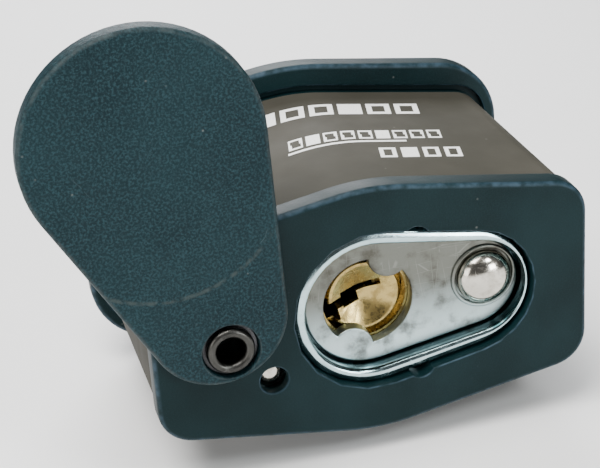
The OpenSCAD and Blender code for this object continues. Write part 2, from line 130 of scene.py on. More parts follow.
def hull(circles: Sequence[tuple[float, float, float]]) -> list[Arc]:
    """The outline of the convex hull of circles.

    Args:
        circles: x, z and radius of each circle, counter-clockwise.

    Returns:
        One arc for each circle, joined by straight tangents.
    """

    def tangent(p: tuple[float, float, float], q: tuple[float, float, float]) -> float:
        """Direction of the outward normal of the tangent from one circle to the next."""
        dx, dz = q[0] - p[0], q[1] - p[1]
        return math.degrees(math.atan2(dz, dx) - math.acos((p[2] - q[2]) / math.hypot(dx, dz)))

    arcs = []
    for i, (x, z, r) in enumerate(circles):
        start = tangent(circles[i - 1], circles[i])
        end = tangent(circles[i], circles[(i + 1) % len(circles)])
        arcs.append(Arc(x, z, r, start, (end - start) % 360.0))
    return arcs


@dataclass(frozen=True)
class Hexagon:
    """An elongated hexagon with rounded ridges and corners."""

    half_w: float
    mid: float
    end: float
    corner_r: float
    ridge_r: float

    def __call__(self, offset: float) -> list[Arc]:
        """The outline, moved outwards by offset."""
        slope = math.atan((self.mid - self.end) / self.half_w)
        x = self.half_w - self.corner_r
        z = self.mid - (self.corner_r + x * math.sin(slope)) / math.cos(slope)
        ridge = self.mid - self.ridge_r / math.cos(slope)
        r, m = self.corner_r + offset, self.ridge_r + offset
        return hull([(x, -z, r), (x, z, r), (0, ridge, m), (-x, z, r), (-x, -z, r), (0, -ridge, m)])


@dataclass(frozen=True)
class Round:
    """A circle."""

    x: float
    z: float
    r: float

    def __call__(self, offset: float) -> list[Arc]:
        """The circle, moved outwards by offset."""
        return [Arc(self.x, self.z, self.r + offset, 0.0, 360.0)]


@dataclass(frozen=True)
class Egg:
    """The hull of a big circle and a small one; turn is the small end's direction."""

    x: float
    z: float
    big_r: float
    reach: float
    small_r: float
    turn: float = 0.0
    big_shift: float = 0.0

    def __call__(self, offset: float) -> list[Arc]:
        """The outline, moved outwards by offset."""
        c, s = math.cos(math.radians(self.turn)), math.sin(math.radians(self.turn))
        near = (self.x + self.big_shift * c, self.z + self.big_shift * s, self.big_r + offset)
        far = (self.x + self.reach * c, self.z + self.reach * s, self.small_r + offset)
        return hull([near, far])


@dataclass(frozen=True)
class NotchedEgg:
    """An egg-shaped opening with a half-round notch in each long side."""

    egg: Egg
    notch_x: float
    notch_z: float
    notch_r: float

    def __call__(self, offset: float) -> list[Arc]:
        """The outline, moved outwards by offset."""
        big, small = self.egg(offset)
        normal = math.radians(small.start)
        gap = (self.notch_x - big.x) * math.cos(normal) + self.notch_z * abs(math.sin(normal)) - big.r
        r = self.notch_r + offset
        half = math.degrees(math.acos(gap / r))
        lower = Arc(self.notch_x, -self.notch_z, r, small.start - 180 + half, 360 - 2 * half)
        upper = Arc(self.notch_x, self.notch_z, r, -small.start - 180 + half, 360 - 2 * half)
        return [big, lower, small, upper]


@dataclass(frozen=True)
class TabbedHole:
    """A round hole with two rounded tabs that reach into it."""

    r: float
    tab_r: float
    tab_far: float
    angles: tuple[float, float]

    def __call__(self, offset: float) -> list[Arc]:
        """The outline, moved outwards by offset."""
        r, tab, far = self.r + offset, self.tab_r - offset, self.tab_far
        spread = math.degrees(math.acos((r * r + far * far - tab * tab) / (2 * r * far)))
        inner = math.degrees(math.acos((tab * tab + far * far - r * r) / (2 * tab * far)))
        arcs = []
        for angle, following in (self.angles, self.angles[::-1]):
            a = math.radians(angle)
            x, z = far * math.cos(a), far * math.sin(a)
            arcs.append(Arc(x, z, tab, angle + 180 + inner, -2 * inner))
            arcs.append(Arc(0.0, 0.0, r, angle + spread, (following - angle) % 360 - 2 * spread))
        return arcs


def quarter(steps: int) -> list[float]:
    """The angles of a quarter turn in even steps, in radians."""
    return [math.pi / 2 * i / steps for i in range(steps + 1)]


def rounded(
    start_y: float, end_y: float, start_r: float, end_r: float, hole: bool = False, steps: int = 5
) -> list[tuple[float, float, float]]:
    """The section of a wall with a rounded edge at each end.

    Args:
        start_y: where the wall starts.
        end_y: where the wall ends.
        start_r: radius of the edge at the start.
        end_r: radius of the edge at the end.
        hole: whether the wall is a hole's, so that its edges round outwards.
        steps: facets of each rounded edge.

    Returns:
        Offset, y and edge wear of each ring.
    """
    out = 1.0 if hole else -1.0
    way = 1.0 if end_y > start_y else -1.0
    rings = []
    for a in quarter(steps):
        rings.append((out * start_r * (1 - math.sin(a)),
                      start_y + way * start_r * (1 - math.cos(a)), math.sin(2 * a)))
    for a in reversed(quarter(steps)):
        rings.append((out * end_r * (1 - math.sin(a)),
                      end_y - way * end_r * (1 - math.cos(a)), math.sin(2 * a)))
    return rings


# ---------- sizes that several sub-assemblies share ----------


COVER_OUTLINE = Hexagon(33.0, 20.0, 14.5, 5.5, 32.0)
STEEL_INSET = 2.8
PIVOT_X = -22.2
LEG_X = 19.0
ROD_R = 4.75
RIVET_PLACES = ((-15.7, 7.85), (-15.7, -7.85), (25.8, 7.2), (25.8, -7.2))
# Edge value of points where shade is painted in: joints and recesses darkened as painted shade.
PAINTED_SHADE = -1.0


# ---------- meshes ----------


def as_object(bm: bmesh.types.BMesh, name: str) -> bpy.types.Object:
    """Writes a mesh to a new object of the scene, at the origin, and frees it."""
    mesh = bpy.data.meshes.new(name)
    bm.to_mesh(mesh)
    bm.free()
    piece = bpy.data.objects.new(name, mesh)
    bpy.context.scene.collection.objects.link(piece)
    return piece


def closed(bm: bmesh.types.BMesh, name: str) -> bpy.types.Object:
    """Turns a closed mesh's faces outwards and writes it to a new object."""
    bmesh.ops.recalc_face_normals(bm, faces=bm.faces)
    return as_object(bm, name)


class Mould:
    """A mesh in the making: walls lofted along Y, turned forms and flat faces."""

    def __init__(self, name: str, steps: int = 10) -> None:
        """Starts an empty mesh.

        Args:
            name: the piece's name.
            steps: facets of each arc.
        """
        self.name = name
        self.steps = steps
        self.bm = bmesh.new()
        self.wear = self.bm.verts.layers.float.new("edge_wear_and_shade")

    def loop(self, arcs: Sequence[Arc], y: float, wear: float = 0.0) -> Loop:
        """Draws a closed outline.

        Args:
            arcs: the outline's arcs, in order.
            y: the outline's place.
            wear: edge value of its points: wear from 0 to 1, negative for painted shade.

        Returns:
            The outline's edges.
        """
        first = arcs[0].point(0.0, y)
        start = last = self.bm.verts.new(first)
        start[self.wear] = wear
        edges: Loop = []
        for i, arc in enumerate(arcs):
            begin = arc.point(0.0, y)
            if (begin - last.co).length > TOUCH:
                v = self.bm.verts.new(begin)
                v[self.wear] = wear
                edges.append(self.bm.edges.new((last, v)))
                last = v
            steps, share = self.steps, 1.0
            if i == len(arcs) - 1 and (arc.point(1.0, y) - first).length < TOUCH:
                steps = self.steps * (3 if len(arcs) == 1 else 1)
                share = (steps - 1) / steps
                steps -= 1
            bmesh.ops.spin(
                self.bm, geom=[last], cent=(arc.x * MM, y * MM, arc.z * MM), axis=(0, -1, 0),
                dvec=(0, 0, 0), angle=math.radians(arc.sweep * share), steps=steps,
                use_duplicate=False)
            for _ in range(steps):
                edge = last.link_edges[-1]
                last = edge.other_vert(last)
                last[self.wear] = wear
                edges.append(edge)
        edges.append(self.bm.edges.new((last, start)))
        return edges

    def bridge(self, a: Loop, b: Loop) -> None:
        """Joins two outlines with a smooth band of faces."""
        made = bmesh.ops.bridge_loops(self.bm, edges=a + b)
        for face in made["faces"]:
            face.smooth = True

    def wall(self, outline: Outline, rings: Sequence[tuple[float, float, float]]) -> tuple[Loop, Loop]:
        """Lofts an outline through rings.

        Args:
            outline: the outline as a function of its offset.
            rings: offset, y and edge value of each ring: wear from 0 to 1, negative for painted shade.

        Returns:
            The first and the last ring's edges.
        """
        loops = [self.loop(outline(offset), y, wear) for offset, y, wear in rings]
        for a, b in zip(loops, loops[1:]):
            self.bridge(a, b)
        return loops[0], loops[-1]

    def fill(self, *loops: Loop) -> None:
        """Closes the flat face between outlines."""
        edges = [edge for loop in loops for edge in loop]
        bmesh.ops.triangle_fill(self.bm, use_beauty=True, use_dissolve=False, edges=edges)

    def turned(
        self, x: float, z: float, section: Sequence[tuple[float, float]], steps: int = 72
    ) -> None:
        """Spins a section about an axis along Y.

        Args:
            x: the axis's place.
            z: the axis's place.
            section: radius and y of each point of the section.
            steps: facets of the full turn.
        """
        verts = [self.bm.verts.new(Vector((x + r, y, z)) * MM) for r, y in section]
        edges = [self.bm.edges.new(pair) for pair in zip(verts, verts[1:])]
        bmesh.ops.spin(
            self.bm, geom=verts + edges, cent=(x * MM, 0, z * MM), axis=(0, 1, 0), dvec=(0, 0, 0),
            angle=math.tau, steps=steps, use_merge=True, use_duplicate=False)
        bmesh.ops.remove_doubles(self.bm, verts=self.bm.verts, dist=TOUCH)
        bmesh.ops.dissolve_degenerate(self.bm, dist=TOUCH / 10, edges=self.bm.edges)
        for face in self.bm.faces:
            face.smooth = True

    def done(self, sharp: float = 38.0) -> bpy.types.Object:
        """Writes the mesh to an object.

        Args:
            sharp: edges steeper than this many degrees stay crisp.

        Returns:
            The object, at the origin.
        """
        bmesh.ops.recalc_face_normals(self.bm, faces=self.bm.faces)
        keep_crisp(self.bm, sharp)
        return as_object(self.bm, self.name)


def keep_crisp(bm: bmesh.types.BMesh, sharp: float) -> None:
    """Marks the edges of a mesh that are steeper than sharp degrees as crisp."""
    limit = math.radians(sharp)
    for edge in bm.edges:
        if len(edge.link_faces) == 2:
            edge.smooth = edge.calc_face_angle(math.pi) < limit


def settle(piece: bpy.types.Object, bevel: float = 0.0, sharp: float = 38.0) -> None:
    """Applies a piece's modifiers and smooths it.

    Args:
        piece: the piece.
        bevel: width of the bevel on its crisp edges, in millimetres, or 0 for none.
        sharp: edges steeper than this many degrees stay crisp.
    """
    bpy.context.view_layer.update()
    shaped = piece.evaluated_get(bpy.context.evaluated_depsgraph_get())
    mesh = bpy.data.meshes.new_from_object(shaped)
    piece.modifiers.clear()
    piece.data = mesh
    bm = bmesh.new()
    bm.from_mesh(mesh)
    bmesh.ops.remove_doubles(bm, verts=bm.verts, dist=2e-6)
    bmesh.ops.dissolve_degenerate(bm, dist=1e-6, edges=bm.edges)
    if bevel:
        limit = math.radians(sharp)
        steep = [e for e in bm.edges
                 if len(e.link_faces) == 2 and e.calc_face_angle(0.0) > limit]
        bmesh.ops.bevel(
            bm, geom=steep, offset=bevel * MM, offset_type="OFFSET", affect="EDGES", segments=2,
            profile=0.5, clamp_overlap=True, material=-1)
    for face in bm.faces:
        face.smooth = True
    keep_crisp(bm, sharp)
    bm.to_mesh(mesh)
    bm.free()


def cut(piece: bpy.types.Object, cutters: Sequence[bpy.types.Object], bevel: float = 0.0) -> None:
    """Cuts shapes out of a piece and deletes the cutters.

    Args:
        piece: the piece to cut.
        cutters: closed shapes.
        bevel: width of the bevel on the crisp edges, in millimetres.
    """
    for cutter in cutters:
        step = piece.modifiers.new("cut", "BOOLEAN")
        step.operation = "DIFFERENCE"
        step.solver = "EXACT"
        step.object = cutter
    settle(piece, bevel)
    for cutter in cutters:
        bpy.data.objects.remove(cutter)


# ---------- shader maths ----------


class Wire:
    """A shader socket that Python's operators calculate with."""

    def __init__(self, graph: Graph, socket: bpy.types.NodeSocket) -> None:
        """Wraps a socket of a graph."""
        self.graph = graph
        self.socket = socket

    def __add__(self, other: Value) -> Wire:
        """Sum."""
        return self.graph.math("ADD", self, other)

    __radd__ = __add__

    def __sub__(self, other: Value) -> Wire:
        """Difference."""
        return self.graph.math("SUBTRACT", self, other)

    def __rsub__(self, other: Value) -> Wire:
        """Difference with the number first."""
        return self.graph.math("SUBTRACT", other, self)

    def __mul__(self, other: Value) -> Wire:
        """Product."""
        return self.graph.math("MULTIPLY", self, other)

    __rmul__ = __mul__

    def over(self, low: float, high: float) -> Wire:
        """0 below low, 1 above high and smooth between them; falling if low is above high."""
        return self.graph.node(
            "ShaderNodeMapRange", {"interpolation_type": "SMOOTHSTEP"},
            {"Value": self, "From Min": low, "From Max": high})


Value = Wire | float


class Graph:
    """A material's node tree."""

    def __init__(self, name: str) -> None:
        """Starts a material with coordinates in millimetres."""
        self.material = bpy.data.materials.new(name)
        self.material.use_nodes = True
        self.tree = self.material.node_tree
        self.tree.nodes.clear()
        metres = self.node("ShaderNodeTexCoord", output="Object")
        self.mm = self.node(
            "ShaderNodeVectorMath", {"operation": "SCALE"}, {0: metres, "Scale": 1 / MM})

    def node(
        self, kind: str, settings: dict | None = None, values: dict | None = None,
        output: str | int = 0,
    ) -> Wire:
        """Adds a node.

        Args:
            kind: the node's type.
            settings: the node's properties.
            values: numbers, colours or wires by socket name or number.
            output: the output socket that is wanted.

        Returns:
            The output as a wire.
        """
        made = self.tree.nodes.new(kind)
        for key, value in (settings or {}).items():
            setattr(made, key, value)
        for key, value in (values or {}).items():
            socket = made.inputs[key]
            if isinstance(value, Wire):
                self.tree.links.new(value.socket, socket)
            elif isinstance(value, tuple) and len(socket.default_value) == 4 and len(value) == 3:
                socket.default_value = (*value, 1.0)
            else:
                socket.default_value = value
        return Wire(self, made.outputs[output])

    def math(self, operation: str, a: Value, b: Value = 0.0) -> Wire:
        """A Math node on two values."""
        return self.node("ShaderNodeMath", {"operation": operation}, {0: a, 1: b})

    def mix(self, share: Value, a: Wire | Rgb, b: Wire | Rgb) -> Wire:
        """A colour between a and b."""
        return self.node("ShaderNodeMix", {"data_type": "RGBA"}, {0: share, 6: a, 7: b}, 2)

    def noise(self, size: float, detail: float = 2.0, stretch: Rgb = (1, 1, 1), seed: float = 0.0,
              rough: float = 0.5) -> Wire:
        """Soft noise with features of a size in millimetres, near 0.5 on average."""
        place = self.mm
        if stretch != (1, 1, 1) or seed:
            place = self.node("ShaderNodeMapping", None, {
                "Vector": self.mm, "Location": (seed, seed * 0.7, -seed), "Scale": stretch})
        return self.node("ShaderNodeTexNoise", None, {
            "Vector": place, "Scale": 1 / size, "Detail": detail, "Roughness": rough}, "Fac")

    def cells(self, size: float, feature: str = "F1", stretch: Rgb = (1, 1, 1),
              turn: Rgb = (0, 0, 0)) -> Wire:
        """Distance in a field of cells of a size in millimetres."""
        place = self.mm
        if stretch != (1, 1, 1) or turn != (0, 0, 0):
            place = self.node("ShaderNodeMapping", None, {
                "Vector": self.mm, "Rotation": turn, "Scale": stretch})
        return self.node("ShaderNodeTexVoronoi", {"feature": feature}, {
            "Vector": place, "Scale": 1 / size}, "Distance")

    def place(self) -> tuple[Wire, Wire, Wire]:
        """X, Y and Z in millimetres."""
        first = self.node("ShaderNodeSeparateXYZ", None, {"Vector": self.mm}, "X")
        outputs = first.socket.node.outputs
        return first, Wire(self, outputs["Y"]), Wire(self, outputs["Z"])

    def wear(self) -> Wire:
        """The mesh's edge wear and painted shade, from the negative value of painted shade up to 1."""
        return self.node("ShaderNodeAttribute", {"attribute_name": "edge_wear_and_shade"}, output="Fac")

    def bump(self, height: Wire, depth: float) -> Wire:
        """A normal from a height of 0 to 1 that stands for depth millimetres."""
        return self.node(
            "ShaderNodeBump", None, {"Height": height, "Strength": 1.0, "Distance": depth * MM},
            "Normal")

    def finish(self, varying: dict, fixed: dict) -> bpy.types.Material:
        """Adds the surface shader.

        Args:
            varying: wires of the sockets that change over the surface.
            fixed: plain values of the other sockets.

        Returns:
            The material.
        """
        shader = self.node("ShaderNodeBsdfPrincipled", None, {**fixed, **varying}, "BSDF")
        end = self.tree.nodes.new("ShaderNodeOutputMaterial")
        self.tree.links.new(shader.socket, end.inputs["Surface"])
        return self.material


# ---------- finishes ----------


class Brushing(Enum):
    """How a metal's fine marks run."""

    NONE = "none"
    ACROSS = "across"
    ALL_WAYS = "all ways"


@dataclass(frozen=True)
class Scratch:
    """A straight mark on a face that looks along Y."""

    x: float
    z: float
    dx: float
    dz: float
    width: float


@dataclass(frozen=True)
class Plastic:
    """Moulded plastic with a grain, soft blotches, dust, pale edges that are partly wear and partly
    painted highlight, painted glints on the grain and a painted shadow line where the edge value is
    negative.
    """

    name: str
    base: Rgb
    pale: Rgb
    roughness: float
    grain: float
    grain_depth: float
    gloss: float = 0.2
    # strength of the painted glints: grain specks lightened as painted highlights
    painted_sparkle: float = 0.0
    # colour of the pale edges: partly wear, partly a painted highlight along the fillets
    edge: Rgb = (0.1, 0.13, 0.15)
    edge_strength: float = 0.5
    scratches: tuple[Scratch, ...] = ()
    rub: tuple[float, float, float] | None = None

    def build(self) -> bpy.types.Material:
        """Makes the material."""
        g = Graph(self.name)
        grain = g.noise(self.grain, 3.0, rough=0.62)
        pits = g.cells(self.grain * 2.2, "SMOOTH_F1")
        blotch = g.noise(14.0, 4.0)
        smear = g.noise(5.0, 5.0, stretch=(1.0, 1.0, 0.35), seed=7.0)
        dust = g.cells(2.3).over(0.1, 0.05) * g.noise(4.0, seed=3.0).over(0.56, 0.66)
        worn = g.wear().over(0.0, 1.0) * g.noise(1.6, 4.0, seed=11.0).over(0.25, 0.75)
        worn = worn * self.edge_strength
        colour = g.mix(blotch.over(0.3, 0.75), self.base, self.pale)
        # Painted glints: raised specks of the grain are lightened in patches, standing in for light
        # catching the pebbly surface.
        if self.painted_sparkle:
            patch = g.noise(1.6, 3.0, seed=15.0).over(-0.3, 0.7)
            painted_glint = grain.over(0.4, 0.72) * patch * self.painted_sparkle
            colour = g.mix(painted_glint, colour, tuple(c * 2.4 + 0.006 for c in self.pale))
        # Pale edges: the band along the fillets is partly wear and partly a painted highlight where the
        # fillets catch light.
        colour = g.mix(worn, colour, self.edge)
        # Painted shade: points with a negative edge value go nearly black, a painted shadow line in the
        # sleeve's joint with the cap.
        colour = g.mix(g.wear().over(-0.2, -0.9), colour, (0.012, 0.01, 0.008))
        colour = g.mix(dust * 0.22, colour, (0.3, 0.3, 0.28))
        height = grain * 0.75 + pits * 0.5
        rough = self.roughness + (smear - 0.5) * 0.22 + dust * 0.2
        for mark in self.scratches:
            line = self._scratch(g, mark)
            colour = g.mix(line * 0.5, colour, tuple(c * 2.2 + 0.03 for c in self.pale))
            height = height - line * 0.5
        if self.rub:
            colour = g.mix(self._rub_line(g, *self.rub), colour, (0.04, 0.052, 0.05))
        return g.finish(
            {"Base Color": colour, "Roughness": rough,
             "Normal": g.bump(height, self.grain_depth)},
            {"Specular IOR Level": self.gloss})

    @staticmethod
    def _rub_line(g: Graph, at_x: float, at_z: float, radius: float) -> Wire:
        """A faint worn arc round the lower side of a point."""
        x, _, z = g.place()
        x, z = x - at_x, z - at_z
        off = g.math("ABSOLUTE", g.math("SQRT", x * x + z * z) - radius)
        patch = g.noise(1.2, 3.0, seed=13.0).over(0.35, 0.6)
        return off.over(0.45, 0.1) * z.over(-9.0, -14.0) * patch * 0.6

    @staticmethod
    def _scratch(g: Graph, mark: Scratch) -> Wire:
        """1 on a scratch and 0 away from it."""
        length = math.hypot(mark.dx, mark.dz)
        turn = math.atan2(mark.dz, mark.dx)
        placed = g.node("ShaderNodeMapping", {"vector_type": "TEXTURE"}, {
            "Vector": g.mm, "Location": (mark.x, 0.0, mark.z), "Rotation": (0.0, -turn, 0.0)})
        axes = g.node("ShaderNodeSeparateXYZ", None, {"Vector": placed}, "X")
        across = Wire(g, axes.socket.node.outputs["Z"])
        waver = (g.noise(2.5, 2.0, seed=5.0) - 0.5) * 0.8
        near = g.math("ABSOLUTE", across + waver).over(mark.width, mark.width * 0.3)
        ends = axes.over(-0.4, 0.6) * axes.over(length + 0.4, length - 0.6)
        return near * ends * g.noise(0.5, 2.0, seed=9.0).over(0.3, 0.6)


@dataclass(frozen=True)
class Metal:
    """Bare or plated metal with brushing, scratches and stains; where asked, also painted shade,
    painted dark reflections and painted light.
    """

    name: str
    base: Rgb
    dark: Rgb
    roughness: float
    brushing: Brushing = Brushing.NONE
    brush_depth: float = 0.004
    stain: float = 0.3
    stain_size: float = 5.0
    scratch: float = 0.3
    # strength of the painted dark teal reflections on a lip's lower and right side and of the painted
    # shade in its recess
    painted_lip_shade: float = 0.0
    # place along Y past which shade is painted in
    shade_beyond_y: float | None = None
    # a lighter colour painted in towards the bottom, as painted light
    low: Rgb | None = None

    def build(self) -> bpy.types.Material:
        """Makes the material."""
        g = Graph(self.name)
        cloud = g.noise(self.stain_size, 5.0, seed=2.0, rough=0.6)
        fine = g.noise(0.35, 3.0, seed=4.0)
        lines = g.cells(1.6, "DISTANCE_TO_EDGE", stretch=(0.12, 1.0, 1.0), turn=(0.3, 0.9, 0.4))
        other = g.cells(2.1, "DISTANCE_TO_EDGE", stretch=(1.0, 1.0, 0.1), turn=(0.0, 0.5, 0.0))
        marks = g.math("MAXIMUM", lines.over(0.018, 0.004), other.over(0.014, 0.003))
        marks = marks * g.noise(3.0, seed=6.0).over(0.45, 0.62) * self.scratch
        stained = cloud.over(0.42, 0.72) * self.stain
        colour = g.mix(stained, self.base, self.dark)
        colour = g.mix(marks, colour, tuple(min(1.0, c * 1.25 + 0.05) for c in self.base))
        # Painted dark reflection and shade: off the crest, the lip's lower and right side is painted
        # dark teal as a reflection of dark surroundings, and points with a negative edge value are
        # darkened as painted shade in the recess.
        if self.painted_lip_shade:
            x, _, z = g.place()
            low = z.over(-2.0, -9.0) + x.over(15.0, 22.0)
            patch = g.noise(2.6, 3.0, seed=12.0).over(0.4, 0.55) * 0.6 + x.over(17.0, 22.0)
            lip_shade = (1.0 - g.wear().over(0.55, 0.95)) * low * patch
            lip_shade = g.math("MAXIMUM", lip_shade, g.wear().over(0.1, -0.6)) * self.painted_lip_shade
            colour = g.mix(lip_shade, colour, (0.02, 0.05, 0.055))
        # Painted light: towards the bottom the colour is blended into the given lighter, bluer colour,
        # outside the stains, standing in for brighter light low on the surface.
        if self.low:
            _, _, z = g.place()
            colour = g.mix(z.over(3.0, -8.5) * (1.0 - stained), colour, self.low)
        # Painted shade: further in along Y than the given place the colour goes nearly black, standing
        # in for shade inside holes and recesses.
        if self.shade_beyond_y is not None:
            _, y, _ = g.place()
            colour = g.mix(y.over(self.shade_beyond_y, self.shade_beyond_y + 0.6), colour, (0.01, 0.006, 0.003))
        rough = self.roughness + stained * 0.3 + (fine - 0.5) * 0.12 + marks * 0.25
        height = marks * -0.6 + fine * 0.25
        if self.brushing is Brushing.ACROSS:
            height = height + g.noise(0.09, 2.0, stretch=(0.03, 1.0, 1.0))
        elif self.brushing is Brushing.ALL_WAYS:
            height = height + g.noise(0.25, 3.0, seed=8.0) * 0.7
        return g.finish(
            {"Base Color": colour, "Roughness": rough, "Normal": g.bump(height, self.brush_depth)},
            {"Metallic": 1.0})


@dataclass(frozen=True)
class Ink:
    """Printed ink: flat, a little worn where the grain stands proud."""

    name: str
    base: Rgb
    ground: Rgb

    def build(self) -> bpy.types.Material:
        """Makes the material."""
        g = Graph(self.name)
        worn = g.noise(0.25, 3.0).over(0.6, 0.75) * 0.5
        colour = g.mix(worn, self.base, self.ground)
        return g.finish(
            {"Base Color": colour, "Roughness": 0.5 + (g.noise(1.0) - 0.5) * 0.2,
             "Normal": g.bump(g.noise(0.2, 2.0), 0.01)}, {})


@dataclass(frozen=True)
class Finishes:
    """Every finish of the padlock, built once."""

    made: dict[str, bpy.types.Material] = field(default_factory=dict)

    def __getitem__(self, name: str) -> bpy.types.Material:
        """The material with a name."""
        return self.made[name]

    def build(self) -> Finishes:
        """Builds the materials.

        Returns:
            This object.
        """
        for finish in (
            # The plastics' edge colours are partly wear and partly painted fillet highlights; the
            # cover's is bluish like a reflected sky.
            Plastic("cover_plastic", (0.0006, 0.008, 0.0092), (0.003, 0.0145, 0.0168), 0.46, 0.22,
                    0.02, gloss=0.12, painted_sparkle=0.2, edge=(0.05, 0.085, 0.12), edge_strength=0.6),
            # flap_plastic carries strong painted glints on its grain.
            Plastic("flap_plastic", (0.0018, 0.01, 0.0132), (0.0044, 0.0172, 0.0212), 0.5, 0.36,
                    0.12, gloss=0.13, painted_sparkle=0.85, edge=(0.05, 0.06, 0.06), edge_strength=0.5,
                    scratches=(
                        Scratch(-17.0, 15.5, 1.4, 2.4, 0.1),
                        Scratch(-41.0, 30.0, 2.0, -3.0, 0.07)),
                    rub=(-29.8, 27.8, 18.16)),
            Plastic("sleeve_plastic", (0.042, 0.04, 0.032), (0.057, 0.0535, 0.0435), 0.58, 0.3,
                    0.012, gloss=0.04, edge=(0.09, 0.085, 0.075), edge_strength=0.3),
            Plastic("seal_rubber", (0.012, 0.012, 0.013), (0.02, 0.02, 0.02), 0.65, 0.3, 0.01,
                    edge=(0.05, 0.05, 0.05)),
            # dark_steel is painted black further in than its front, as painted shade in the rivet's
            # hole.
            Metal("dark_steel", (0.055, 0.054, 0.05), (0.02, 0.02, 0.02), 0.3, stain=0.6,
                  stain_size=1.5, scratch=0.5, shade_beyond_y=-2.95),
            # plate_steel's lip gets painted dark reflections low and to the right, and painted shade in
            # its recess.
            Metal("plate_steel", (0.5, 0.66, 0.69), (0.24, 0.36, 0.37), 0.14, stain=0.35,
                  stain_size=3.0, scratch=0.5, painted_lip_shade=0.85),
            Metal("lamination_steel", (0.42, 0.42, 0.43), (0.22, 0.2, 0.19), 0.38, Brushing.ACROSS,
                  0.006, stain=0.5),
            # worn_plate's low colour paints the door lighter and bluer towards the bottom, as painted
            # light.
            Metal("worn_plate", (0.145, 0.15, 0.132), (0.06, 0.052, 0.04), 0.32, Brushing.ALL_WAYS,
                  0.014, stain=0.8, stain_size=3.5, scratch=0.8, low=(0.52, 0.65, 0.67)),
            Metal("polished_steel", (0.62, 0.59, 0.52), (0.16, 0.13, 0.09), 0.13, stain=0.4,
                  stain_size=1.6, scratch=0.5),
            Metal("shackle_steel", (0.74, 0.75, 0.77), (0.5, 0.5, 0.5), 0.13, stain=0.2,
                  stain_size=9.0, scratch=0.25),
            # brass is painted black further in along Y, as painted shade deep in the keyway and the
            # door hole.
            Metal("brass", (0.46, 0.345, 0.13), (0.18, 0.115, 0.035), 0.22, Brushing.ALL_WAYS, 0.008,
                  stain=0.6, stain_size=1.5, scratch=0.5, shade_beyond_y=7.5),
            Metal("spring_steel", (0.06, 0.06, 0.064), (0.02, 0.02, 0.02), 0.3, stain=0.4),
            Ink("print", (0.8, 0.8, 0.77), (0.1, 0.09, 0.076)),
        ):
            self.made[finish.name] = finish.build()
        return self


# ---------- pieces ----------


@dataclass
class SubAssembly:
    """A group of pieces that ride on one CAD body."""

    finishes: Finishes
    body: str = "lock_body"

    def place(self, piece: bpy.types.Object, finish: str, *nodes: str) -> None:
        """Gives a piece its finish, its body and the CAD nodes that it stands for.

        Args:
            piece: the piece.
            finish: name of the finish, which is also the record's material slot.
            nodes: the CAD nodes.
        """
        piece.data.materials.clear()
        piece.data.materials.append(self.finishes[finish])
        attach(piece, self.body)
        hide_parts(*nodes)
        LOG.info("%s: %d faces, %s", piece.name, len(piece.data.polygons), finish)


@dataclass(frozen=True)
class PrintRow:
    """A row of leaning marks: rings of a band's width, and blocks at the solid places."""

    x: float
    y: float
    pitch: float
    w: float
    h: float
    band: float
    count: int
    solid: tuple[int, ...]


